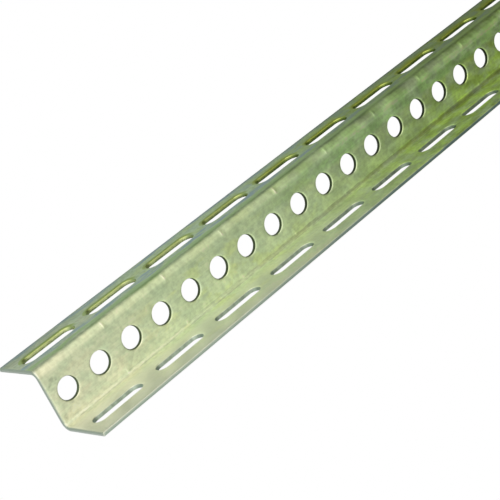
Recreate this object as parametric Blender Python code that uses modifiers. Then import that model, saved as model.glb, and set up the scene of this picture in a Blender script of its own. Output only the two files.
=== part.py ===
"""Slotted angle: one length of punched steel strip, folded to a Z section.

The strip has two flanges on opposite sides of a web. A row of round holes runs
along the web and a row of long slots along each flange. The section is
modelled square, with its centre at the origin and its length along X, and an
empty then lays it down as it comes to rest on a level floor.
"""

import math

import bmesh
import bpy
from mathutils import Matrix

# Driving sizes, in metres.
LENGTH = 0.900
HEIGHT = 0.040  # over both flanges
FLANGE = 0.040  # from a flange's free edge to the far face of the web
THICKNESS = 0.0026
INSIDE_RADIUS = 0.003
PITCH = 0.025  # from one round hole to the next
HOLE_DIAMETER = 0.014
SLOT_WIDTH = 0.0115
SLOT_BRIDGE = 0.012  # steel left between the ends of two slots
SLOT_LINE = 0.0205  # from the middle of the web to the middle of a slot
PUNCH_CLEARANCE = 0.002  # how far a punch stands out of both faces

# Facets of the round forms.
FOLD_SEGMENTS = 8
CIRCLE_SEGMENTS = 32

# Sizes that follow from the driving ones.
SLOT_PITCH = 2 * PITCH
SLOT_LENGTH = SLOT_PITCH - SLOT_BRIDGE
SLOT_COUNT = int(LENGTH / SLOT_PITCH + 1e-6)
HOLE_COUNT = 2 * SLOT_COUNT
HALF_HEIGHT = HEIGHT / 2
HALF_SHEET = THICKNESS / 2
FLANGE_REACH = FLANGE - HALF_SHEET  # from the web's middle to a free edge
FLANGE_LEVEL = HALF_HEIGHT - HALF_SHEET  # from the section's centre to a flange's middle
FOLD_RADIUS = INSIDE_RADIUS + HALF_SHEET  # at the middle of the sheet
OUTSIDE_RADIUS = INSIDE_RADIUS + THICKNESS
PUNCH_DEPTH = THICKNESS + 2 * PUNCH_CLEARANCE

# Surface: zinc with a yellow-green passivated film.
ZINC_COLOUR = (0.42, 0.47, 0.30, 1.0)
ZINC_ROUGHNESS = 0.38


def clear_scene():
    for obj in list(bpy.data.objects):
        bpy.data.objects.remove(obj, do_unlink=True)


def new_collection(name):
    collection = bpy.data.collections.new(name)
    bpy.context.scene.collection.children.link(collection)
    return collection


def add_object(name, data, collection, parent):
    obj = bpy.data.objects.new(name, data)
    collection.objects.link(obj)
    obj.parent = parent
    return obj


def resting_place():
    """Tilt and height of the section's centre when the part lies on the floor.

    It lies on the lower corner of one free edge and on the outside of the fold
    below the web, so the floor is the line through that corner that touches
    the fold's outer circle.
    """
    corner_y = FLANGE_REACH
    corner_z = HALF_HEIGHT - THICKNESS
    fold_y = -(HALF_SHEET + INSIDE_RADIUS)
    fold_z = -(HALF_HEIGHT - OUTSIDE_RADIUS)
    reach_y = corner_y - fold_y
    reach_z = corner_z - fold_z
    tilt = math.atan2(reach_z, reach_y) + math.asin(OUTSIDE_RADIUS / math.hypot(reach_y, reach_z))
    height = corner_y * math.sin(tilt) - corner_z * math.cos(tilt)
    return tilt, height


def add_resting_frame(collection):
    """Empty that carries the square section down to the floor."""
    tilt, height = resting_place()
    frame = add_object("resting_frame", None, collection, None)
    frame.rotation_euler = (-tilt, 0, 0)
    frame.location = (0, 0, height)
    return frame


def mesh_from_curve(curve, name):
    """Mesh of a curve object, with its loose caps welded. The curve is removed."""
    bpy.context.view_layer.update()
    depsgraph = bpy.context.evaluated_depsgraph_get()
    mesh = bpy.data.meshes.new_from_object(curve.evaluated_get(depsgraph))
    mesh.name = name
    work = bmesh.new()
    work.from_mesh(mesh)
    bmesh.ops.remove_doubles(work, verts=work.verts, dist=1e-6)
    bmesh.ops.recalc_face_normals(work, faces=work.faces)
    work.to_mesh(mesh)
    work.free()
    collection = curve.users_collection[0]
    obj = add_object(name, mesh, collection, curve.parent)
    obj.rotation_euler = curve.rotation_euler
    obj.location = curve.location
    bpy.data.curves.remove(curve.data)
    return obj


def flat_curve(name, points, closed, extrude, collection, parent):
    """2D curve through the points, extruded both ways from its own plane."""
    data = bpy.data.curves.new(name, 'CURVE')
    data.dimensions = '2D'
    data.fill_mode = 'BOTH'
    data.extrude = extrude
    spline = data.splines.new('POLY')
    spline.points.add(len(points) - 1)
    for spline_point, (x, y) in zip(spline.points, points):
        spline_point.co = (x, y, 0, 1)
    spline.use_cyclic_u = closed
    return add_object(name, data, collection, parent)


def add_folded_sheet(collection, parent):
    """The strip: its middle surface is drawn, folded round and thickened."""
    section = [
        (FLANGE_REACH, FLANGE_LEVEL),
        (0, FLANGE_LEVEL),
        (0, -FLANGE_LEVEL),
        (-FLANGE_REACH, -FLANGE_LEVEL),
    ]
    curve = flat_curve("section", section, False, LENGTH / 2, collection, parent)
    curve.rotation_euler = (math.pi / 2, 0, math.pi / 2)
    sheet = mesh_from_curve(curve, "slotted_angle")

    folds = sheet.modifiers.new("folds", 'BEVEL')
    folds.width = FOLD_RADIUS
    folds.segments = FOLD_SEGMENTS
    folds.limit_method = 'ANGLE'
    folds.angle_limit = math.radians(45)

    gauge = sheet.modifiers.new("gauge", 'SOLIDIFY')
    gauge.thickness = THICKNESS
    gauge.offset = 0
    gauge.use_even_offset = True
    return sheet


def finish_punch(punch, count, pitch):
    """Repeats a punch along the strip, centred on its length."""
    punch.location.x = -(count - 1) * pitch / 2
    row = punch.modifiers.new("row", 'ARRAY')
    row.count = count
    row.use_relative_offset = False
    row.use_constant_offset = True
    row.constant_offset_displace = (pitch, 0, 0)
    punch.hide_render = True
    punch.display_type = 'WIRE'


def add_hole_punch(collection, parent):
    """Round punches through the web, halfway up it."""
    square_to_web = Matrix.Rotation(math.pi / 2, 4, 'X')
    mesh = bpy.data.meshes.new("hole_punch")
    work = bmesh.new()
    bmesh.ops.create_cone(
        work,
        cap_ends=True,
        segments=CIRCLE_SEGMENTS,
        radius1=HOLE_DIAMETER / 2,
        radius2=HOLE_DIAMETER / 2,
        depth=PUNCH_DEPTH,
        matrix=square_to_web,
    )
    work.to_mesh(mesh)
    work.free()
    punch = add_object("hole_punch", mesh, collection, parent)
    finish_punch(punch, HOLE_COUNT, PITCH)
    return punch


def slot_outline():
    """Points of a slot with round ends, anticlockwise from its right end."""
    end_radius = SLOT_WIDTH / 2
    end_centre = SLOT_LENGTH / 2 - end_radius
    steps = CIRCLE_SEGMENTS // 2
    points = []
    for side, start in ((1, -math.pi / 2), (-1, math.pi / 2)):
        for step in range(steps + 1):
            angle = start + math.pi * step / steps
            x = side * end_centre + end_radius * math.cos(angle)
            y = end_radius * math.sin(angle)
            points.append((x, y))
    return points


def add_slot_punch(name, side, collection, parent):
    """Long punches through one flange: side is 1 for the upper, -1 for the lower."""
    curve = flat_curve(name, slot_outline(), True, PUNCH_DEPTH / 2, collection, parent)
    curve.location = (0, side * SLOT_LINE, side * FLANGE_LEVEL)
    punch = mesh_from_curve(curve, name)
    finish_punch(punch, SLOT_COUNT, SLOT_PITCH)
    return punch


def punch_sheet(sheet, punches):
    for punch in punches:
        cut = sheet.modifiers.new(punch.name, 'BOOLEAN')
        cut.object = punch
        cut.operation = 'DIFFERENCE'
        cut.solver = 'EXACT'


def zinc_material():
    material = bpy.data.materials.new("passivated_zinc")
    material.use_nodes = True
    shader = material.node_tree.nodes["Principled BSDF"]
    shader.inputs["Base Color"].default_value = ZINC_COLOUR
    shader.inputs["Roughness"].default_value = ZINC_ROUGHNESS
    shader.inputs["Metallic"].default_value = 0.9
    return material


def main():
    clear_scene()
    part = new_collection("slotted_angle")
    punches = new_collection("punches")
    frame = add_resting_frame(part)
    sheet = add_folded_sheet(part, frame)
    punch_sheet(sheet, [
        add_hole_punch(punches, frame),
        add_slot_punch("upper_slot_punch", 1, punches, frame),
        add_slot_punch("lower_slot_punch", -1, punches, frame),
    ])
    sheet.data.materials.append(zinc_material())


main()
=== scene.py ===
"""Looks of the slotted angle: a punched and folded strip of passivated zinc steel.

The strip is drawn flat, with its slots and holes, and is then folded to the Z
section in the place where the solid part lies. On the flat strip, x runs along
the length and v across it, from the upper free edge to the lower one. Height h
is measured from the middle of the sheet, up on the face that looks at the
camera and down on the other one. All sizes are in metres.
"""

import math

import bpy
from mathutils import Matrix, Vector, noise


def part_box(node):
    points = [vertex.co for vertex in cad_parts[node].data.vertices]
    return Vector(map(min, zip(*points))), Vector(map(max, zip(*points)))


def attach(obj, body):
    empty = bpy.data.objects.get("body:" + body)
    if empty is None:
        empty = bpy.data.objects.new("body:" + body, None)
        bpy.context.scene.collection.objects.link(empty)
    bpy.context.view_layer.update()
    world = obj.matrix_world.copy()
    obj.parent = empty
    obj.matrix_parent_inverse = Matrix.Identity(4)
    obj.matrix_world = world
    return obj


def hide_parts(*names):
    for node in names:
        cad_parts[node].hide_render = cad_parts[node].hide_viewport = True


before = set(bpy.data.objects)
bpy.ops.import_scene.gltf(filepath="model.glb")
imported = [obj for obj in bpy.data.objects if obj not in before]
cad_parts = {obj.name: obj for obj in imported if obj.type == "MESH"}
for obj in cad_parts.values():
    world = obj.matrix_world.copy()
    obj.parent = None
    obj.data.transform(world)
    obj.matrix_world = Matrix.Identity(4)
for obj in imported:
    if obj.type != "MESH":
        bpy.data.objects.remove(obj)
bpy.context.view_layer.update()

NODE = "slotted_angle"

# Section and punching, as in the solid part.
HEIGHT = 0.040
FLANGE = 0.040
THICKNESS = 0.0026
INSIDE_RADIUS = 0.003
PITCH = 0.025
HOLE_RADIUS = 0.007
SLOT_PITCH = 2 * PITCH
SLOT_HALF_WIDTH = 0.00575
SLOT_LENGTH = 0.038
SLOT_LINE = 0.0205  # from the middle of the web to the middle of a slot

HALF_SHEET = THICKNESS / 2
FLANGE_REACH = FLANGE - HALF_SHEET
FLANGE_LEVEL = HEIGHT / 2 - HALF_SHEET
FOLD_RADIUS = INSIDE_RADIUS + HALF_SHEET
OUTSIDE_RADIUS = INSIDE_RADIUS + THICKNESS

# Stretches of the flat strip, from the upper free edge down.
FLANGE_FLAT = FLANGE_REACH - FOLD_RADIUS
FOLD_ARC = FOLD_RADIUS * math.pi / 2
WEB_FLAT = 2 * (FLANGE_LEVEL - FOLD_RADIUS)
STRIP_WIDTH = 2 * (FLANGE_FLAT + FOLD_ARC) + WEB_FLAT
UPPER_FOLD = FLANGE_FLAT
WEB_TOP = FLANGE_FLAT + FOLD_ARC
WEB_MIDDLE = STRIP_WIDTH / 2
WEB_FOOT = STRIP_WIDTH - WEB_TOP
LOWER_FOLD_END = STRIP_WIDTH - UPPER_FOLD
UPPER_SLOTS = FLANGE_REACH - SLOT_LINE
LOWER_SLOTS = STRIP_WIDTH - UPPER_SLOTS

# The strip is cut to length a little off the middle of its punched pattern, toward the near end.
END_SHIFT = 0.0008

# Mesh lines.
ROW_STEPS = 8
ROW_STEP = PITCH / ROW_STEPS
TICK_ROWS = (0.00035, 0.0007)
FOLD_STEPS = 14
SLOT_CELL_HALF = 0.009
WEB_CELL_HALF = 0.010
CELL_STEPS = 8
EDGE_TO_CELL_STEPS = 3
CELL_TO_FOLD_STEPS = 4
FOLD_MARGIN = 0.0012
FOLD_MARGIN_STEPS = 3
SHARP_ANGLE = math.radians(40)

# Edges, as (distance in from the edge, height lost), from the flat face to the edge itself.
FREE_EDGE_ROUND = ((0.0008, 0), (0.0005, 0.00010), (0.00025, 0.00026), (0.00008, 0.00050), (0, 0.00080))
CUT_END_ROUND = ((0.0009, 0), (0.00045, 0.00008), (0.00015, 0.00024), (0, 0.00050))

# Punched edges. The sheet is drawn down towards the opening, and the rim itself is rounded.
ROLL_SHARES = (1, 0.66, 0.38, 0.18)
# Width and depth of the roll, how far the rim and then the wall stand in, and the rim's rounding.
HOLE_ROLL = (0.0015, 0.00016, 0, 0.0003, 1)
UPPER_SLOT_ROLL = (0.0028, 0.00036, 0, 0.0004, 1.6)
LOWER_SLOT_ROLL = (0.0028, 0.00012, 0.0006, 0.0005, 1)
# Rings as (distance out, drop below the roll, bareness), then as (distance out, height, bareness).
PUNCHED_RIM = ((0.00016, 0.00005, 0), (0.00003, 0.00022, 0.3), (0, 0.00048, 1))
PUNCHED_WALL = ((0, -0.00030, 1), (0.00006, -0.00090, 1), (0.00014, 0.00005 - HALF_SHEET, 1))
PUNCHED_BACK = (0.00022, -HALF_SHEET, 0)

# Relief. Each mark along a fold is (v, half width, height), and each dent (x, v, radius, height).
FOLD_MARKS = (
    (WEB_FOOT + 0.0006, 0.0006, -0.00006),
    (WEB_FOOT + 0.0023, 0.0008, 0.00006),
    (WEB_FOOT + 0.0039, 0.0008, -0.00006),
    (WEB_TOP + 0.0003, 0.0007, -0.00003),
    (WEB_FOOT - 0.0042, 0.0006, -0.00003),
    (WEB_FOOT - 0.0066, 0.0006, -0.00002),
)
DENTS = (
    (-0.4465, WEB_MIDDLE - 0.0080, 0.0012, -0.00012),
    (-0.4440, WEB_MIDDLE - 0.0105, 0.0014, -0.00010),
    (-0.4415, WEB_MIDDLE - 0.0092, 0.0010, -0.00010),
    (-0.4470, WEB_MIDDLE + 0.0124, 0.0014, 0.00008),
)
TICK_HEIGHT = 0.00009
TICK_LINES = ((WEB_TOP - 0.002, 0.003), (WEB_FOOT, 0.0025))  # v and half width
WAVE_HEIGHT = 0.00006
WAVE_LENGTH = 0.045
RIPPLE_HEIGHT = 0.00007
RIPPLE_LENGTH = 0.009
RIPPLE_LINES = ((WEB_TOP - FOLD_ARC / 2, 0.009, 1), (WEB_FOOT, 0.008, 0.5))  # v, half width, share
RIPPLE_SEED = 3


def punched_edge(roll_width, roll_depth, inset, lean, rounding):
    """Rings of a punched edge as (distance out, height, bareness), from the front face to the back."""
    rings = [
        (roll_width * out - inset * (1 - out), HALF_SHEET - roll_depth * (1 - out) ** 2, 0)
        for out in ROLL_SHARES
    ]
    rim_height = HALF_SHEET - roll_depth
    for distance, drop, bare in PUNCHED_RIM:
        rings.append((distance * rounding - inset, rim_height - drop * rounding, bare))
    for distance, height, bare in (*PUNCHED_WALL, PUNCHED_BACK):
        share = (rim_height - height) / THICKNESS
        rings.append((distance - inset - lean * share, height, bare))
    return rings


def fold_place(v):
    """Middle of the sheet at v across the section, square to the web, with its front normal."""
    if v > STRIP_WIDTH / 2:
        y, z, normal_y, normal_z = fold_place(STRIP_WIDTH - v)
        return -y, -z, normal_y, normal_z
    if v < UPPER_FOLD:
        return FLANGE_REACH - v, FLANGE_LEVEL, 0, 1
    if v < WEB_TOP:
        angle = (v - UPPER_FOLD) / FOLD_RADIUS
        normal_y = -math.sin(angle)
        normal_z = math.cos(angle)
        y = FOLD_RADIUS * (1 + normal_y)
        z = FLANGE_LEVEL - FOLD_RADIUS * (1 - normal_z)
        return y, z, normal_y, normal_z
    return 0, FLANGE_LEVEL - FOLD_RADIUS - (v - WEB_TOP), -1, 0


def resting_matrix():
    """Lays the square section down as the solid part lies on the floor."""
    corner_z = HEIGHT / 2 - THICKNESS
    reach_y = FLANGE_REACH + HALF_SHEET + INSIDE_RADIUS
    reach_z = corner_z + HEIGHT / 2 - OUTSIDE_RADIUS
    tilt = math.atan2(reach_z, reach_y) + math.asin(OUTSIDE_RADIUS / math.hypot(reach_y, reach_z))
    height = FLANGE_REACH * math.sin(tilt) - corner_z * math.cos(tilt)
    return Matrix.Translation((0, 0, height)) @ Matrix.Rotation(-tilt, 4, 'X')


def bump_at(distance, half_width):
    """1 at no distance, falling smoothly to 0 at the half width."""
    share = min(abs(distance) / half_width, 1)
    return 1 - share * share * (3 - 2 * share)


def sheet_wave(x, v):
    """Slow rise and fall of the whole sheet, with finer ripples round the folds."""
    wave = WAVE_HEIGHT * noise.noise(Vector((x / WAVE_LENGTH, v / WAVE_LENGTH * 2, 0)))
    near_fold = sum(share * bump_at(v - line, half) for line, half, share in RIPPLE_LINES)
    ripple = noise.noise(Vector((x / RIPPLE_LENGTH, v / RIPPLE_LENGTH * 2, RIPPLE_SEED)))
    return wave + RIPPLE_HEIGHT * near_fold * ripple


def front_marks(x, v):
    """Tool marks on the front face: lines along both folds, short ticks across them, a few dents."""
    height = sum(rise * bump_at(v - line, half) for line, half, rise in FOLD_MARKS)
    to_bridge = (x + SLOT_PITCH / 2) % SLOT_PITCH - SLOT_PITCH / 2
    tick = TICK_HEIGHT * bump_at(to_bridge, 2 * TICK_ROWS[0])
    height += sum(tick * bump_at(v - line, half) for line, half in TICK_LINES)
    for dent_x, dent_v, radius, rise in DENTS:
        height += rise * bump_at(math.hypot(x - dent_x, v - dent_v), radius)
    return height


def folded(x, v, h):
    """Place in space of a point of the flat strip, with the section still square."""
    y, z, normal_y, normal_z = fold_place(v)
    front = max(h / HALF_SHEET, 0)
    h += sheet_wave(x, v) + front * front_marks(x, v)
    return Vector((x, y + h * normal_y, z + h * normal_z))


class Strip:
    """Points and faces of the sheet, given by their places on the flat strip."""

    def __init__(self, rows, columns):
        self.rows = rows
        self.columns = columns
        self.points = []
        self.near_opening = []
        self.bare = []
        self.faces = []
        self.grid = {}

    def add_point(self, x, v, h, near_opening=0, bare=0):
        self.points.append((x, v, h))
        self.near_opening.append(near_opening)
        self.bare.append(bare)
        return len(self.points) - 1

    def grid_point(self, row, column, side):
        """Point where a row meets a column, on the front (side 1) or the back (side -1)."""
        key = (row, column, side)
        if key not in self.grid:
            v, height = self.columns[column]
            self.grid[key] = self.add_point(self.rows[row], v, side * height)
        return self.grid[key]

    def add_band(self, upper, lower):
        """Faces between two rings of points, or two open lines of points."""
        for step in range(len(upper) - 1):
            self.faces.append((upper[step], lower[step], lower[step + 1], upper[step + 1]))

    def add_closed_band(self, upper, lower):
        self.add_band(upper + upper[:1], lower + lower[:1])


def row_places(half_length):
    """Lines across the strip, and how many there are to a cell.

    They are evenly spaced, closer at each bridge between two slots, and the
    last few at both ends move with the cut.
    """
    places = [-half_length]
    steps = [ROW_STEP * step for step in range(1, ROW_STEPS)]
    after_bridge = sorted([*TICK_ROWS, *steps, PITCH])
    before_bridge = sorted([*steps, *(PITCH - row for row in TICK_ROWS), PITCH])
    for cell in range(round(2 * half_length / PITCH)):
        offsets = before_bridge if cell % 2 else after_bridge
        places.extend(-half_length + cell * PITCH + offset for offset in offsets)
    end_round = CUT_END_ROUND[0][0]
    for row in range(len(TICK_ROWS) + 1):
        places[row] += end_round - END_SHIFT
        places[-1 - row] -= end_round + END_SHIFT
    return places, len(after_bridge)


def spread(start, end, steps):
    return [start + (end - start) * step / steps for step in range(1, steps + 1)]


def column_places():
    """Lines along the strip as (v, height), and where the rows of openings have theirs."""
    half = [(inset, HALF_SHEET - drop) for inset, drop in reversed(FREE_EDGE_ROUND)]
    to_slots = spread(FREE_EDGE_ROUND[0][0], UPPER_SLOTS - SLOT_CELL_HALF, EDGE_TO_CELL_STEPS)
    slot_cells = spread(UPPER_SLOTS - SLOT_CELL_HALF, UPPER_SLOTS + SLOT_CELL_HALF, CELL_STEPS)
    to_fold = spread(UPPER_SLOTS + SLOT_CELL_HALF, UPPER_FOLD, CELL_TO_FOLD_STEPS)
    fold = spread(UPPER_FOLD, WEB_TOP, FOLD_STEPS)
    past_fold = spread(WEB_TOP, WEB_TOP + FOLD_MARGIN, FOLD_MARGIN_STEPS)
    slot_start = len(half) + len(to_slots) - 1
    lines = to_slots + slot_cells + to_fold + fold + past_fold + [WEB_MIDDLE - WEB_CELL_HALF]
    half += [(v, HALF_SHEET) for v in lines]
    web_start = len(half) - 1
    web_cells = spread(WEB_MIDDLE - WEB_CELL_HALF, WEB_MIDDLE, CELL_STEPS // 2)
    half += [(v, HALF_SHEET) for v in web_cells]
    mirrored = [(STRIP_WIDTH - v, height) for v, height in reversed(half[:-1])]
    columns = half + mirrored
    last = len(columns) - 1
    bands = {
        "upper": (slot_start, slot_start + CELL_STEPS),
        "web": (web_start, web_start + CELL_STEPS),
        "lower": (last - slot_start - CELL_STEPS, last - slot_start),
    }
    return columns, bands


def add_plain_strips(strip, bands):
    """Both faces of the sheet where nothing is punched."""
    punched = {column for first, last in bands.values() for column in range(first, last)}
    rows = range(len(strip.rows))
    for column in range(len(strip.columns) - 1):
        if column in punched:
            continue
        for side in (1, -1):
            upper = [strip.grid_point(row, column, side) for row in rows]
            lower = [strip.grid_point(row, column + 1, side) for row in rows]
            strip.add_band(*(upper, lower)[::side])


def add_free_edges(strip):
    rows = range(len(strip.rows))
    last = len(strip.columns) - 1
    front_top = [strip.grid_point(row, 0, 1) for row in rows]
    back_top = [strip.grid_point(row, 0, -1) for row in rows]
    front_foot = [strip.grid_point(row, last, 1) for row in rows]
    back_foot = [strip.grid_point(row, last, -1) for row in rows]
    strip.add_band(back_top, front_top)
    strip.add_band(front_foot, back_foot)


def section_loop(strip, row):
    """Points right round the section at one row: down the front and back up the other face."""
    columns = range(len(strip.columns))
    front = [strip.grid_point(row, column, 1) for column in columns]
    back = [strip.grid_point(row, column, -1) for column in reversed(columns)]
    return front + back


def add_cut_end(strip, row, end):
    """Rounded rim and flat face of one cut end: end is -1 for the near one, 1 for the far one."""
    outer = section_loop(strip, row)
    edge_x = strip.rows[row] + end * CUT_END_ROUND[0][0]
    for inset, drop in CUT_END_ROUND[1:]:
        inner = []
        for index in outer:
            x, v, h = strip.points[index]
            rim_v = min(max(v, drop), STRIP_WIDTH - drop)
            rim_h = min(max(h, drop - HALF_SHEET), HALF_SHEET - drop)
            inner.append(strip.add_point(edge_x - end * inset, rim_v, rim_h))
        strip.add_closed_band(*(outer, inner)[::-end])
        outer = inner
    front = outer[:len(outer) // 2]
    back = outer[len(outer) // 2:][::-1]
    strip.add_band(*(front, back)[::-end])


def cell_rim(strip, first_row, last_row, first_column, last_column, side):
    """Grid points round one cell, anticlockwise seen from the front, as point numbers."""
    rim = [(row, last_column) for row in range(first_row, last_row)]
    rim += [(last_row, column) for column in range(last_column, first_column, -1)]
    rim += [(row, first_column) for row in range(last_row, first_row, -1)]
    rim += [(first_row, column) for column in range(first_column, last_column)]
    return [strip.grid_point(row, column, side) for row, column in rim]


def hole_outline(centre_x, centre_v, row_steps):
    """The point and outward normal of a hole that match each place on the rim of its cell."""
    outline = []
    sides = (row_steps, CELL_STEPS, row_steps, CELL_STEPS)
    for quarter, steps in enumerate(sides):
        for step in range(steps):
            angle = math.radians(-135 + 90 * (quarter + step / steps))
            normal = (math.cos(angle), -math.sin(angle))
            point = (centre_x + HOLE_RADIUS * normal[0], centre_v + HOLE_RADIUS * normal[1])
            outline.append((point, normal))
    return outline


def slot_outline(places, centre_x, centre_v):
    """The same for a slot: its long sides keep the rim's own spacing, its ends are evenly divided."""
    straight = SLOT_LENGTH / 2 - SLOT_HALF_WIDTH
    from_middle = [(x - centre_x, v - centre_v) for x, v in places]
    outline = [None] * len(places)
    for index, (along, across) in enumerate(from_middle):
        if abs(along) < straight:
            down = math.copysign(1, across)
            outline[index] = ((places[index][0], centre_v + down * SLOT_HALF_WIDTH), (0, down))
    for end in (1, -1):
        members = [
            (-math.atan2(across, end * along), index)
            for index, (along, across) in enumerate(from_middle)
            if end * along >= straight
        ]
        for step, (_, index) in enumerate(sorted(members)):
            angle = math.pi / 2 - math.pi * step / (len(members) - 1)
            normal = (end * math.cos(angle), math.sin(angle))
            point = (centre_x + end * straight + SLOT_HALF_WIDTH * normal[0],
                     centre_v + SLOT_HALF_WIDTH * normal[1])
            outline[index] = (point, normal)
    return outline


def halfway_ring(strip, places, outline, distance, height):
    ring = []
    for (rim_x, rim_v), ((x, v), (normal_x, normal_v)) in zip(places, outline):
        middle_x = (rim_x + x + distance * normal_x) / 2
        middle_v = (rim_v + v + distance * normal_v) / 2
        ring.append(strip.add_point(middle_x, middle_v, height))
    return ring


def add_opening(strip, front_rim, back_rim, outline, roll):
    """Faces from the cell's rim on the front, over the punched edge, to its rim on the back."""
    places = [strip.points[index][:2] for index in front_rim]
    roll_width = roll[0]
    rings = [front_rim, halfway_ring(strip, places, outline, roll_width, HALF_SHEET)]
    for distance, height, bare in punched_edge(*roll):
        near = 1 - distance / roll_width
        rings.append([
            strip.add_point(x + distance * normal_x, v + distance * normal_v, height, near, bare)
            for (x, v), (normal_x, normal_v) in outline
        ])
    rings.append(halfway_ring(strip, places, outline, roll_width, -HALF_SHEET))
    rings.append(back_rim)
    for outer, inner in zip(rings, rings[1:]):
        strip.add_closed_band(inner, outer)


def add_openings(strip, bands, row_steps, half_length):
    """A round hole in each cell of the web, and a slot in each two cells of both flanges."""
    cells = (len(strip.rows) - 1) // row_steps
    slot_rows = (("upper", UPPER_SLOTS, UPPER_SLOT_ROLL), ("lower", LOWER_SLOTS, LOWER_SLOT_ROLL))
    for cell in range(cells):
        first = cell * row_steps
        rims = [cell_rim(strip, first, first + row_steps, *bands["web"], side) for side in (1, -1)]
        centre_x = -half_length + (cell + 0.5) * PITCH
        add_opening(strip, *rims, hole_outline(centre_x, WEB_MIDDLE, row_steps), HOLE_ROLL)
    for cell in range(0, cells, 2):
        first = cell * row_steps
        last = first + 2 * row_steps
        centre_x = -half_length + (cell + 1) * PITCH
        for band, centre_v, roll in slot_rows:
            rims = [cell_rim(strip, first, last, *bands[band], side) for side in (1, -1)]
            places = [strip.points[index][:2] for index in rims[0]]
            add_opening(strip, *rims, slot_outline(places, centre_x, centre_v), roll)


def build_strip(half_length):
    rows, row_steps = row_places(half_length)
    columns, bands = column_places()
    strip = Strip(rows, columns)
    add_plain_strips(strip, bands)
    add_free_edges(strip)
    add_cut_end(strip, 0, -1)
    add_cut_end(strip, len(rows) - 1, 1)
    add_openings(strip, bands, row_steps, half_length)
    return strip


def add_punched_strip(half_length):
    """The visible piece: the strip folded, laid down and shaded smooth."""
    strip = build_strip(half_length)
    place = resting_matrix()
    mesh = bpy.data.meshes.new("punched_strip")
    mesh.from_pydata([place @ folded(*point) for point in strip.points], [], strip.faces)
    flat = mesh.attributes.new("flat_strip", 'FLOAT_VECTOR', 'POINT')
    flat.data.foreach_set("vector", [number for point in strip.points for number in point])
    for name, values in (("near_opening", strip.near_opening), ("bare", strip.bare)):
        mesh.attributes.new(name, 'FLOAT', 'POINT').data.foreach_set("value", values)
    mesh.polygons.foreach_set("use_smooth", [True] * len(mesh.polygons))
    mesh.set_sharp_from_angle(angle=SHARP_ANGLE)
    mesh.validate()
    piece = bpy.data.objects.new("punched_strip", mesh)
    bpy.context.scene.collection.objects.link(piece)
    return piece


# Finish, as linear colours.
# From the near end to the far end the zinc darkens, partly deeper film and partly painted shade of the
# far end.
NEAR_FILM_AND_LIGHT = (0.98, 0.98, 0.85, 1)
ZINC_MIDDLE = (0.88, 0.99, 0.77, 1)
FAR_FILM_AND_SHADE = (0.675, 0.86, 0.46, 1)
ZINC_OLIVE = (0.68, 0.86, 0.31, 1)
ZINC_LEAF = (0.59, 0.90, 0.48, 1)
# Painted light: white blended into the lower flange near the near end.
PAINTED_LIGHT_WHITE = (1, 1, 1, 1)
ZINC_PATCH = (0.72, 0.84, 0.70, 1)
ZINC_CREAM = (1.0, 0.96, 0.80, 1)
ZINC_LIME = (0.90, 1.0, 0.52, 1)
ZINC_BLUE = (0.54, 0.65, 0.84, 1)
ZINC_BLUE_FAR = (0.50, 0.62, 0.60, 1)
# Green film, darkened as painted shade of the dark reflection just before the upper fold.
GREEN_FILM_AND_SHADE = (0.62, 0.81, 0.45, 1)
ZINC_STAIN_NEAR = (0.66, 0.76, 0.34, 1)
ZINC_STAIN_FAR = (0.62, 0.72, 0.22, 1)
ZINC_SPREAD = (0.66, 0.74, 0.14, 1)
# Walls of the openings: the dark of the hole walls and the darker far tones of all walls are partly
# painted shade.
HOLE_WALL_AND_SHADE_NEAR = (0.26, 0.30, 0.20, 1)
HOLE_WALL_AND_SHADE_FAR = (0.12, 0.14, 0.10, 1)
SLOT_WALL_NEAR = (0.64, 0.70, 0.44, 1)
SLOT_WALL_FAR_AND_SHADE = (0.23, 0.30, 0.09, 1)
FOOT_WALL_NEAR = (0.58, 0.66, 0.66, 1)
FOOT_WALL_FAR_AND_SHADE = (0.30, 0.36, 0.34, 1)
# Free edges: blue-grey bare steel, darker toward the far end as painted shade.
FREE_EDGE_NEAR = (0.58, 0.66, 0.70, 1)
FREE_EDGE_FAR_AND_SHADE = (0.19, 0.27, 0.38, 1)
CUT_STEEL = (0.95, 0.92, 1.0, 1)
CUT_SHADE = (0.70, 0.73, 0.73, 1)
METAL_SHARE = 0.9

# Noise over the flat strip: its scale along, across and through the sheet, its detail, the two
# levels between which it is turned to a value, and the value at each where that isn't 0 and 1.
PATCH_SIZE = 0.013
MOTTLE_SIZE = 0.003
CLOUD_SIZE = 0.018
STREAK_LENGTH = 0.030
STREAK_WIDTH = 0.0009
PATCHES = ((1 / PATCH_SIZE, 1.5 / PATCH_SIZE, 0), 3.0, 0.38, 0.66)
WARM_PATCHES = ((0.7 / PATCH_SIZE, 1.2 / PATCH_SIZE, 2), 3.0, 0.50, 0.64, 0.0, 0.5)
MOTTLING = ((1 / MOTTLE_SIZE, 1 / MOTTLE_SIZE, 0), 3.0, 0.30, 0.70, 0.86, 1.06)
STREAKS = ((1 / STREAK_LENGTH, 1 / STREAK_WIDTH, 0), 2.0, 0.3, 0.7, 0.95, 1.02)
CLOUDS = ((1 / CLOUD_SIZE, 2 / CLOUD_SIZE, 4), 4.0, 0.40, 0.62)
CLEAR_TONE = 1.02  # brightness where there is no cloud
FLANGE_WOBBLE = ((1 / 0.020, 1 / 0.010, 0), 3.0, 0.3, 0.7, -0.0015, 0.0015)
FLANGE_CLOUDS = ((1 / 0.018, 1 / 0.004, 0), 3.0, 0.40, 0.60, 0.2, 1.0)
SCUFFS = ((260, 480, 0), 2.0, 0.34, 0.58)
DASHES = ((120, 400, 0), 2.0, 0.35, 0.60)
WALL_MOTTLING = ((260, 260, 260), 3.0, 0.34, 0.66, 0.82, 1.16)
ROUGHNESS = ((60, 120, 0), 3.0, 0.3, 0.7, 0.30, 0.42)
GRAIN_SCALE = (1 / 0.012, 1 / 0.0006, 1 / 0.0006)
GRAIN_STRENGTH = 0.3
GRAIN_DEPTH = 0.0001
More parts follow.
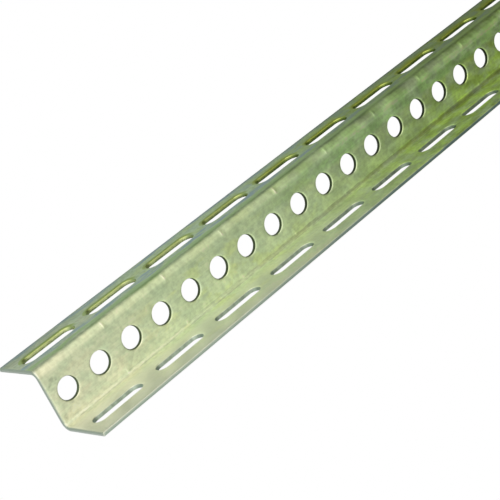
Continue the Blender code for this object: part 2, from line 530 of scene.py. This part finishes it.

# Stretches where the film and the painted light and shade change, as (start, end) with the share at each
# where it isn't 0 and 1.
# Here they run along the length.
NEAR_TO_MIDDLE = (-0.45, -0.33)
MIDDLE_TO_FAR = (-0.33, 0.05)
LEAF_STRETCH = (-0.30, -0.18, 0.0, 0.7)
PATCH_STRETCH = (-0.35, -0.10, 0.5, 0.8)
WARM_STRETCH = (-0.30, -0.16, 1.0, 0.0)
CREAM_TO_LIME = (-0.40, -0.33)
CLOUD_STRETCH = (-0.33, -0.10, 0.0, 0.26)
BLUE_STRETCH = (-0.24, -0.12)
STAIN_STRETCH = (-0.30, -0.12)
SPREAD_STRETCH = (-0.34, -0.16)
HALO_STRETCH = (-0.30, 0.0, 0.05, 0.22)
PAINTED_LIGHT_STRETCH = (-0.40, -0.08, 0.8, 0.0)
LINE_STRETCH = (-0.36, -0.20)
EDGE_STRETCH = (-0.38, -0.16)
HOLE_STRETCH = (-0.38, -0.10)

# Here they run across the strip.
FLANGE_ROOT = (UPPER_FOLD, UPPER_FOLD - 0.002)
FAR_OF_SLOTS = (UPPER_SLOTS + 0.003, UPPER_SLOTS - 0.003)
# Painted light on the lower flange: paler near the near end and lighter along its free edge.
PAINTED_LIGHT_FLANGE = (WEB_FOOT, LOWER_FOLD_END + 0.01)
FOOT_RIM_SIDE = (LOWER_SLOTS + 0.003, LOWER_SLOTS + 0.005, 0.0, -0.22)
PAINTED_LIGHT_BRINK = (LOWER_SLOTS + 0.0060, STRIP_WIDTH - 0.001, 0.0, 0.11)
SOFTER_FLANGE = (WEB_FOOT, LOWER_FOLD_END, 0.0, 0.12)

# Here they run toward an opening (1 at its rim), a bridge, an edge, an end or the front face.
STAIN_RIM = (0.0, 0.3)
UPPER_RIM = (0.84, 0.97, 0.0, -0.55)
HALO_RIM = (0.55, 0.95)
FOOT_RIM = (0.88, 0.98)
OFF_BRIDGE = (0.003, 0.008, 0.0, 0.8)
ON_BRIDGE = (0.008, 0.003, 0.0, 0.7)
AT_TICK = (0.0013, 0.0004)
FREE_EDGE = (0.0003, 0.00004, 0.0, 0.9)
CUT_FACE = (0.0010, 0.0004)
FRONT_FACE = (-0.0001, 0.0005)

# Bands, as (start, end, soft edge).
OLIVE_BAND = (-0.19, 0.12, 0.07)
OLIVE_LAG = 0.1  # the web and the upper fold turn olive this much further along
CUT_GLINT_BAND = (0.0010, 0.0016, 0.0003)
CUT_GLINT = 0.12
WEB_BAND = (UPPER_FOLD, WEB_FOOT, 0.002)
LEAF_BAND = (UPPER_FOLD + 0.002, WEB_TOP + 0.008, 0.002)
BEND_BAND = (UPPER_FOLD, WEB_TOP + 0.003, 0.002)
OUTER_BLUE_BAND = (-0.002, 0.0050, 0.0015)
INNER_BLUE_BAND = (0.0235, 0.0300, 0.0012)
GREEN_SHADE_BAND = (UPPER_FOLD - 0.0030, UPPER_FOLD + 0.0012, 0.0012)
GREEN_SHADE_SHARE = 0.78
SPREAD_BAND = (0.0085, UPPER_SLOTS, 0.0015)
BRIDGE_BAND = (0.0, 0.016, 0.002)
# The ticks are tool marks, paler as a painted highlight.
TICK_HIGHLIGHT_BANDS = ((WEB_TOP - 0.0045, WEB_TOP - 0.0005, 0.001), (WEB_FOOT - 0.001, WEB_FOOT + 0.002, 0.001))
TICK_HIGHLIGHT_TONE = 0.20

# Tones toward the upper free edge, as a stretch across and one along with the tone at each end.
UPPER_EDGE_TONES = (
    ((0.014, 0.010), (-0.43, -0.37, -0.16, -0.05)),
    ((0.0040, 0.0012), (-0.40, -0.10, -0.10, -0.50)),
)
# Painted light and shade along the folds: lines brighter as painted highlights where the folds catch the
# light, the folds darker toward the far end as painted shade, and a darker line along the crease at the
# foot of the web. Each is start and end across the strip, then a stretch along.
FOLD_LIGHT_SOFT = 0.001
FOLD_LIGHT_AND_SHADE = (
    (UPPER_FOLD, WEB_TOP - 0.002, (-0.30, -0.08, 0.0, -0.14)),
    (WEB_TOP - 0.0014, WEB_TOP + 0.0014, (-0.34, -0.14, 0.0, 0.24)),
    (WEB_TOP + 0.0010, WEB_TOP + 0.0070, (-0.24, -0.14, 0.0, 0.09)),
    (WEB_FOOT + 0.0008, WEB_FOOT + 0.0032, (-0.42, -0.20, 0.0, -0.34)),
    (WEB_FOOT + 0.0008, LOWER_FOLD_END, (-0.19, -0.05, 0.0, -0.24)),
    (WEB_TOP - 0.0014, WEB_TOP + 0.0014, (-0.22, -0.12, 0.0, 0.12)),
    (WEB_TOP + 0.0006, WEB_TOP + 0.0012, (-0.20, -0.08, 0.0, 0.16)),
    (WEB_FOOT - 0.0004, WEB_FOOT + 0.0014, (-0.14, -0.04, 0.0, 0.28)),
    (WEB_FOOT + 0.0028, WEB_FOOT + 0.0052, (-0.14, -0.04, 0.0, -0.16)),
)
# Dashed lines at the foot of the web along its tool lines, painted dark over the two grooves as shade
# and light over the ridge between them as highlight, as start and end across, then the near and the far
# tone.
FOLD_LINE_SOFT = 0.0003
FOLD_LINES = (
    (WEB_FOOT + 0.0001, WEB_FOOT + 0.0010, -0.12, -0.24),
    (WEB_FOOT + 0.0019, WEB_FOOT + 0.0027, 0.24, 0.06),
    (WEB_FOOT + 0.0034, WEB_FOOT + 0.0044, -0.20, -0.24),
)
# Scuffs round each dent, as shares of its radius, with the tone there.
SCUFF_START = 1.9
SCUFF_FULL = 0.3
SCUFF_TONE = -0.26


class Nodes:
    """Short names for making and joining a material's nodes."""

    def __init__(self, tree):
        self.tree = tree

    def add(self, kind, **settings):
        node = self.tree.nodes.new(kind)
        for name, value in settings.items():
            setattr(node, name, value)
        return node

    def join(self, value, socket):
        """Gives a socket a constant, or the output of another node."""
        if isinstance(value, bpy.types.NodeSocket):
            self.tree.links.new(value, socket)
        else:
            socket.default_value = value

    def math(self, operation, first, second=0.0):
        node = self.add('ShaderNodeMath', operation=operation)
        self.join(first, node.inputs[0])
        self.join(second, node.inputs[1])
        return node.outputs[0]

    def product(self, first, *others):
        for other in others:
            first = self.math('MULTIPLY', first, other)
        return first

    def ramp(self, value, start, end, low=0.0, high=1.0):
        """Smooth step from low to high as the value goes from start to end."""
        node = self.add('ShaderNodeMapRange', interpolation_type='SMOOTHSTEP')
        for socket, number in zip(node.inputs, (value, start, end, low, high)):
            self.join(number, socket)
        return node.outputs[0]

    def band(self, value, start, end, soft):
        """1 between start and end, falling to 0 over a soft edge on both sides."""
        rise = self.ramp(value, start - soft, start + soft)
        fall = self.ramp(value, end - soft, end + soft, 1.0, 0.0)
        return self.product(rise, fall)

    def noise(self, place, scale, detail):
        """Noise from about 0.3 to 0.7, over places in metres stretched by a scale for each axis."""
        stretched = self.add('ShaderNodeVectorMath', operation='MULTIPLY')
        self.join(place, stretched.inputs[0])
        stretched.inputs[1].default_value = scale
        node = self.add('ShaderNodeTexNoise')
        self.join(stretched.outputs[0], node.inputs['Vector'])
        node.inputs['Scale'].default_value = 1.0
        node.inputs['Detail'].default_value = detail
        return node.outputs[0]

    def texture(self, place, scale, detail, *levels):
        """Noise turned to a value between two levels."""
        return self.ramp(self.noise(place, scale, detail), *levels)

    def blend(self, share, first, second):
        """The first colour, going over to the second as the share goes from 0 to 1."""
        node = self.add('ShaderNodeMix', data_type='RGBA')
        factor, colours = node.inputs[0], node.inputs[6:8]
        self.join(share, factor)
        self.join(first, colours[0])
        self.join(second, colours[1])
        return node.outputs[2]

    def scaled(self, colour, factor):
        node = self.add('ShaderNodeVectorMath', operation='SCALE')
        self.join(colour, node.inputs[0])
        self.join(factor, node.inputs['Scale'])
        return node.outputs[0]

    def toned(self, colour, tone):
        """The colour, brighter by a share of itself, or darker where the tone is negative."""
        return self.scaled(colour, self.math('ADD', 1.0, tone))

    def distance(self, place, point):
        node = self.add('ShaderNodeVectorMath', operation='DISTANCE')
        self.join(place, node.inputs[0])
        self.join(point, node.inputs[1])
        return node.outputs['Value']

    def axes(self, place):
        """The three numbers of a place or a direction."""
        node = self.add('ShaderNodeSeparateXYZ')
        self.join(place, node.inputs[0])
        return node.outputs

    def show_to_camera(self, lit, shown, socket):
        """One shader for what the object sees, and a plain one for what the camera sees."""
        mixed = self.add('ShaderNodeMixShader')
        self.join(self.add('ShaderNodeLightPath').outputs['Is Camera Ray'], mixed.inputs[0])
        self.join(lit, mixed.inputs[1])
        self.join(shown, mixed.inputs[2])
        self.join(mixed.outputs[0], socket)


def film_colour(nodes, place, x, v):
    """Zinc with its film, with olive, leaf-green and warm parts. It darkens along the length, partly
    deeper film and partly painted shade of the far end.
    """
    # Painted shade, in part: the colour darkens toward the far end.
    colour = nodes.blend(nodes.ramp(x, *NEAR_TO_MIDDLE), NEAR_FILM_AND_LIGHT, ZINC_MIDDLE)
    colour = nodes.blend(nodes.ramp(x, *MIDDLE_TO_FAR), colour, FAR_FILM_AND_SHADE)
    lag = nodes.product(nodes.band(v, *WEB_BAND), OLIVE_LAG)
    olive = nodes.band(nodes.math('SUBTRACT', x, lag), *OLIVE_BAND)
    colour = nodes.blend(olive, colour, ZINC_OLIVE)
    leaf = nodes.product(nodes.band(v, *LEAF_BAND), nodes.ramp(x, *LEAF_STRETCH))
    colour = nodes.blend(leaf, colour, ZINC_LEAF)
    patches = nodes.product(nodes.texture(place, *PATCHES), nodes.ramp(x, *PATCH_STRETCH))
    colour = nodes.blend(patches, colour, ZINC_PATCH)
    off_bend = nodes.math('SUBTRACT', 1.0, nodes.band(v, *BEND_BAND))
    warm = nodes.product(nodes.texture(place, *WARM_PATCHES), nodes.ramp(x, *WARM_STRETCH), off_bend)
    warm_zinc = nodes.blend(nodes.ramp(x, *CREAM_TO_LIME), ZINC_CREAM, ZINC_LIME)
    return nodes.blend(warm, colour, warm_zinc)


def mottled(nodes, colour, place, x):
    """Fine mottling and streaks, with darker clouds away from the near end."""
    tone = nodes.product(nodes.texture(place, *MOTTLING), nodes.texture(place, *STREAKS))
    clouds = nodes.product(nodes.texture(place, *CLOUDS), nodes.ramp(x, *CLOUD_STRETCH))
    return nodes.scaled(colour, nodes.product(tone, nodes.math('SUBTRACT', CLEAR_TONE, clouds)))


def upper_flange_tints(nodes, colour, place, x, v, near_opening):
    """Blue-grey and green strips along the upper flange, yellow-green stains round its slots. The green
    strip before the fold is partly film and partly painted shade of the dark reflection there.
    """
    moved = nodes.math('ADD', v, nodes.texture(place, *FLANGE_WOBBLE))
    cloudy = nodes.texture(place, *FLANGE_CLOUDS)
    blue = nodes.math('ADD', nodes.band(moved, *OUTER_BLUE_BAND), nodes.band(moved, *INNER_BLUE_BAND))
    blue_film = nodes.blend(nodes.ramp(x, *BLUE_STRETCH), ZINC_BLUE, ZINC_BLUE_FAR)
    colour = nodes.blend(nodes.product(blue, cloudy), colour, blue_film)
    # Painted shade, in part: a darker green strip just before the upper fold.
    green = nodes.product(nodes.band(moved, *GREEN_SHADE_BAND), GREEN_SHADE_SHARE)
    colour = nodes.blend(green, colour, GREEN_FILM_AND_SHADE)

    far_of_slots = nodes.product(nodes.ramp(v, *FLANGE_ROOT), nodes.ramp(v, *FAR_OF_SLOTS))
    stain = nodes.product(nodes.ramp(near_opening, *STAIN_RIM), far_of_slots)
    stain_film = nodes.blend(nodes.ramp(x, *STAIN_STRETCH), ZINC_STAIN_NEAR, ZINC_STAIN_FAR)
    colour = nodes.blend(stain, colour, stain_film)

    to_bridge = nodes.math('PINGPONG', x, SLOT_PITCH / 2)
    far_clouds = nodes.product(cloudy, nodes.ramp(x, *SPREAD_STRETCH))
    spread_out = nodes.product(nodes.band(moved, *SPREAD_BAND), nodes.ramp(to_bridge, *OFF_BRIDGE))
    colour = nodes.blend(nodes.product(spread_out, far_clouds), colour, ZINC_SPREAD)
    bridges = nodes.product(nodes.band(moved, *BRIDGE_BAND), nodes.ramp(to_bridge, *ON_BRIDGE))
    colour = nodes.blend(nodes.product(bridges, far_clouds), colour, blue_film)
    for across, along in UPPER_EDGE_TONES:
        colour = nodes.toned(colour, nodes.product(nodes.ramp(v, *across), nodes.ramp(x, *along)))
    return colour


def rim_tints(nodes, colour, x, v, near_opening):
    """Dark rims on the camera's side of the slots, pale rings round the holes and the lower slots."""
    near_side = nodes.math('SUBTRACT', 1.0, nodes.ramp(v, *FAR_OF_SLOTS))
    upper_rim = nodes.product(nodes.ramp(near_opening, *UPPER_RIM), nodes.ramp(v, *FLANGE_ROOT))
    colour = nodes.toned(colour, nodes.product(upper_rim, near_side))
    halo = nodes.product(nodes.ramp(near_opening, *HALO_RIM), nodes.ramp(v, UPPER_FOLD, WEB_TOP))
    colour = nodes.toned(colour, nodes.product(halo, nodes.ramp(x, *HALO_STRETCH)))
    foot_rim = nodes.product(nodes.ramp(near_opening, *FOOT_RIM), nodes.ramp(v, *FOOT_RIM_SIDE))
    return nodes.toned(colour, foot_rim)


def lower_flange_tints(nodes, colour, x, v):
    """Painted light: the lower flange paler near the near end, and a lighter strip along its free edge.
    """
    # Painted light: paler lower flange, most at the near end.
    pale = nodes.product(nodes.ramp(v, *PAINTED_LIGHT_FLANGE), nodes.ramp(x, *PAINTED_LIGHT_STRETCH))
    colour = nodes.blend(pale, colour, PAINTED_LIGHT_WHITE)
    # Painted light: a lighter strip along the lower free edge.
    return nodes.toned(colour, nodes.ramp(v, *PAINTED_LIGHT_BRINK))


def fold_tints(nodes, colour, place, x, v):
    """Tool ticks across the folds at each bridge, paler as a painted highlight; painted highlights and
    shade along the folds; dashed tool lines at the foot of the web, painted dark in their grooves and
    light on their ridge; scuffed dents.
    """
    # Painted highlight on the tool ticks at each bridge.
    tick = nodes.ramp(nodes.math('PINGPONG', x, SLOT_PITCH / 2), *AT_TICK)
    tick_places = nodes.math('ADD', *(nodes.band(v, *band) for band in TICK_HIGHLIGHT_BANDS))
    colour = nodes.toned(colour, nodes.product(tick, tick_places, TICK_HIGHLIGHT_TONE))
    # Painted highlights and painted shade along the folds.
    for start, end, along in FOLD_LIGHT_AND_SHADE:
        shade = nodes.product(nodes.band(v, start, end, FOLD_LIGHT_SOFT), nodes.ramp(x, *along))
        colour = nodes.toned(colour, shade)
    scratches = nodes.texture(place, *SCUFFS)
    for dent_x, dent_v, radius, _ in DENTS:
        to_dent = nodes.distance(place, (dent_x, dent_v, HALF_SHEET))
        reach = nodes.ramp(to_dent, SCUFF_START * radius, SCUFF_FULL * radius, 0.0, SCUFF_TONE)
        colour = nodes.toned(colour, nodes.product(reach, scratches))
    dashes = nodes.texture(place, *DASHES)
    # Painted shade in the grooves of the tool lines and a painted highlight on their ridge.
    for start, end, near_tone, far_tone in FOLD_LINES:
        strength = nodes.ramp(x, *LINE_STRETCH, near_tone, far_tone)
        line = nodes.product(strength, dashes, nodes.band(v, start, end, FOLD_LINE_SOFT))
        colour = nodes.toned(colour, line)
    return colour


def wall_tints(nodes, colour, place, x, v, bare):
    """Punched walls: olive in the upper slots, dark in the round holes, grey in the lower slots. The
    dark of the round holes is partly the sheared steel and partly painted shade of the hollow, and all
    walls darken toward the far end as painted shade.
    """
    # Painted shade: walls darker toward the far end, darkest in the round holes.
    wall = nodes.blend(nodes.ramp(x, *EDGE_STRETCH), SLOT_WALL_NEAR, SLOT_WALL_FAR_AND_SHADE)
    hole_wall_and_shade = nodes.blend(nodes.ramp(x, *HOLE_STRETCH), HOLE_WALL_AND_SHADE_NEAR, HOLE_WALL_AND_SHADE_FAR)
    wall = nodes.blend(nodes.ramp(v, UPPER_FOLD, WEB_TOP), wall, hole_wall_and_shade)
    foot_wall = nodes.blend(nodes.ramp(x, *HOLE_STRETCH), FOOT_WALL_NEAR, FOOT_WALL_FAR_AND_SHADE)
    wall = nodes.blend(nodes.ramp(v, WEB_FOOT, LOWER_FOLD_END), wall, foot_wall)
    return nodes.blend(bare, colour, nodes.scaled(wall, nodes.texture(place, *WALL_MOTTLING)))


def cut_tints(nodes, colour, x, v, height, half_length):
    """Free edges and cut ends, where the shear left its own surface. The cut faces are painted darker
    toward the front face as shade, with a painted highlight just inside each end.
    """
    to_edge = nodes.math('MINIMUM', v, nodes.math('SUBTRACT', STRIP_WIDTH, v))
    # Painted shade: the free edges darken toward the far end.
    edge = nodes.blend(nodes.ramp(x, *EDGE_STRETCH), FREE_EDGE_NEAR, FREE_EDGE_FAR_AND_SHADE)
    colour = nodes.blend(nodes.ramp(to_edge, *FREE_EDGE), colour, edge)
    from_middle = nodes.math('ABSOLUTE', nodes.math('ADD', x, END_SHIFT))
    to_end = nodes.math('SUBTRACT', half_length, from_middle)
    # Painted highlight: a glint just inside each cut end.
    colour = nodes.toned(colour, nodes.product(nodes.band(to_end, *CUT_GLINT_BAND), CUT_GLINT))
    # Painted shade: the cut face darker toward the front face.
    steel = nodes.blend(nodes.ramp(height, *FRONT_FACE), CUT_STEEL, CUT_SHADE)
    return nodes.blend(nodes.ramp(to_end, *CUT_FACE), colour, steel)


def zinc_material(half_length):
    material = bpy.data.materials.new("passivated_zinc_finish")
    material.use_nodes = True
    nodes = Nodes(material.node_tree)
    place = nodes.add('ShaderNodeAttribute', attribute_name="flat_strip").outputs['Vector']
    near_opening = nodes.add('ShaderNodeAttribute', attribute_name="near_opening").outputs['Fac']
    bare = nodes.add('ShaderNodeAttribute', attribute_name="bare").outputs['Fac']
    x, v, height = nodes.axes(place)

    colour = mottled(nodes, film_colour(nodes, place, x, v), place, x)
    colour = upper_flange_tints(nodes, colour, place, x, v, near_opening)
    colour = rim_tints(nodes, colour, x, v, near_opening)
    colour = lower_flange_tints(nodes, colour, x, v)
    colour = fold_tints(nodes, colour, place, x, v)
    colour = wall_tints(nodes, colour, place, x, v, bare)
    colour = cut_tints(nodes, colour, x, v, height, half_length)
    roughness = nodes.math('ADD', nodes.texture(place, *ROUGHNESS), nodes.ramp(v, *SOFTER_FLANGE))
    bump = nodes.add('ShaderNodeBump')
    bump.inputs['Strength'].default_value = GRAIN_STRENGTH
    bump.inputs['Distance'].default_value = GRAIN_DEPTH
    nodes.join(nodes.noise(place, GRAIN_SCALE, 2.0), bump.inputs['Height'])

    shader = material.node_tree.nodes["Principled BSDF"]
    shader.inputs["Metallic"].default_value = METAL_SHARE
    nodes.join(colour, shader.inputs["Base Color"])
    nodes.join(roughness, shader.inputs["Roughness"])
    nodes.join(bump.outputs[0], shader.inputs['Normal'])
    return material


# Floor, light and camera. Light is given as linear colours seen from the object.
FLOOR_SIDE = 8.0
FLOOR_DROP = 0.0001
FLOOR_GLOW = (0.09, 0.10, 0.07, 1)
FLOOR_NEAR = (0.34, 0.41, 0.45, 1)
FLOOR_FAR = (0.08, 0.10, 0.05, 1)
FLOOR_STRETCH = (-0.30, 0.05)

LIGHT_BACK = (0.24, 0.31, 0.22, 1)
LIGHT_BACK_FAR = (0.21, 0.29, 0.14, 1)
LIGHT_FRONT = (0.62, 0.70, 0.51, 1)
LIGHT_FRONT_FAR = (0.42, 0.56, 0.27, 1)
LIGHT_TOP = (1.21, 1.18, 0.94, 1)
LIGHT_TOP_FAR = (1.00, 1.13, 0.44, 1)
LIGHT_WHITE = (1, 1, 1, 1)

# Where the light changes, as (start, end) along one axis of the direction that it comes from,
# with the value at each where it isn't 0 and 1.
TO_FAR = (0.42, 0.66)
TOP_TO_FAR = (0.38, 0.60)
BACK_TO_FRONT = (0.75, 0.10)
TO_TOP = (0.25, 0.75)
TOP_OFF_BACK = (0.95, 0.35)
FAR_DIMMING = (0.30, 0.72, 1.0, 0.06)

VIEW_PLACE = (-0.76159, -0.32337, 0.687)
VIEW_AZIMUTH = math.radians(56.018)
VIEW_ELEVATION = math.radians(49.723)
VIEW_ROLL = math.radians(9.72)
VIEW_LENS = 104.27


def floor_material():
    """Plain white to the camera. To the object it is matt with a faint glow, dim at the far end."""
    material = bpy.data.materials.new("pale_floor")
    material.use_nodes = True
    tree = material.node_tree
    tree.nodes.remove(tree.nodes["Principled BSDF"])
    nodes = Nodes(tree)
    x = nodes.axes(nodes.add('ShaderNodeNewGeometry').outputs['Position'])[0]
    matt = nodes.add('ShaderNodeBsdfDiffuse')
    nodes.join(nodes.blend(nodes.ramp(x, *FLOOR_STRETCH), FLOOR_NEAR, FLOOR_FAR), matt.inputs['Color'])
    glow = nodes.add('ShaderNodeEmission')
    nodes.join(FLOOR_GLOW, glow.inputs['Color'])
    lit = nodes.add('ShaderNodeAddShader')
    nodes.join(matt.outputs[0], lit.inputs[0])
    nodes.join(glow.outputs[0], lit.inputs[1])
    white = nodes.add('ShaderNodeEmission')
    nodes.join(LIGHT_WHITE, white.inputs['Color'])
    nodes.show_to_camera(lit.outputs[0], white.outputs[0], tree.nodes["Material Output"].inputs[0])
    return material


def add_floor():
    mesh = bpy.data.meshes.new("floor")
    half = FLOOR_SIDE / 2
    corners = [(-half, -half), (half, -half), (half, half), (-half, half)]
    mesh.from_pydata([(x, y, -FLOOR_DROP) for x, y in corners], [], [(0, 1, 2, 3)])
    mesh.materials.append(floor_material())
    floor = bpy.data.objects.new("floor", mesh)
    bpy.context.scene.collection.objects.link(floor)


def add_world():
    """Soft light from the front and above, dim behind and past the far end. The backdrop shows white."""
    world = bpy.data.worlds.new("studio")
    bpy.context.scene.world = world
    world.use_nodes = True
    tree = world.node_tree
    nodes = Nodes(tree)
    x, y, z = nodes.axes(nodes.add('ShaderNodeTexCoord').outputs['Generated'])
    far = nodes.ramp(x, *TO_FAR)
    back = nodes.blend(far, LIGHT_BACK, LIGHT_BACK_FAR)
    front = nodes.blend(far, LIGHT_FRONT, LIGHT_FRONT_FAR)
    top = nodes.blend(nodes.ramp(x, *TOP_TO_FAR), LIGHT_TOP, LIGHT_TOP_FAR)
    colour = nodes.blend(nodes.ramp(y, *BACK_TO_FRONT), back, front)
    above = nodes.product(nodes.ramp(z, *TO_TOP), nodes.ramp(y, *TOP_OFF_BACK))
    light = nodes.add('ShaderNodeBackground')
    nodes.join(nodes.blend(above, colour, top), light.inputs['Color'])
    nodes.join(nodes.ramp(x, *FAR_DIMMING), light.inputs['Strength'])
    backdrop = nodes.add('ShaderNodeBackground')
    nodes.join(LIGHT_WHITE, backdrop.inputs['Color'])
    nodes.show_to_camera(light.outputs[0], backdrop.outputs[0], tree.nodes["World Output"].inputs[0])


def add_camera():
    data = bpy.data.cameras.new("camera")
    data.lens = VIEW_LENS
    camera = bpy.data.objects.new("camera", data)
    bpy.context.scene.collection.objects.link(camera)
    turn = Matrix.Rotation(-VIEW_AZIMUTH, 4, 'Z')
    tip = Matrix.Rotation(math.pi / 2 - VIEW_ELEVATION, 4, 'X')
    roll = Matrix.Rotation(VIEW_ROLL, 4, 'Z')
    camera.matrix_world = Matrix.Translation(VIEW_PLACE) @ turn @ tip @ roll
    bpy.context.scene.camera = camera


half_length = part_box(NODE)[1].x
piece = add_punched_strip(half_length)
piece.data.materials.append(zinc_material(half_length))
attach(piece, "root")
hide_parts(NODE)
add_floor()
add_world()
add_camera()
bpy.context.scene.view_settings.view_transform = 'Standard'
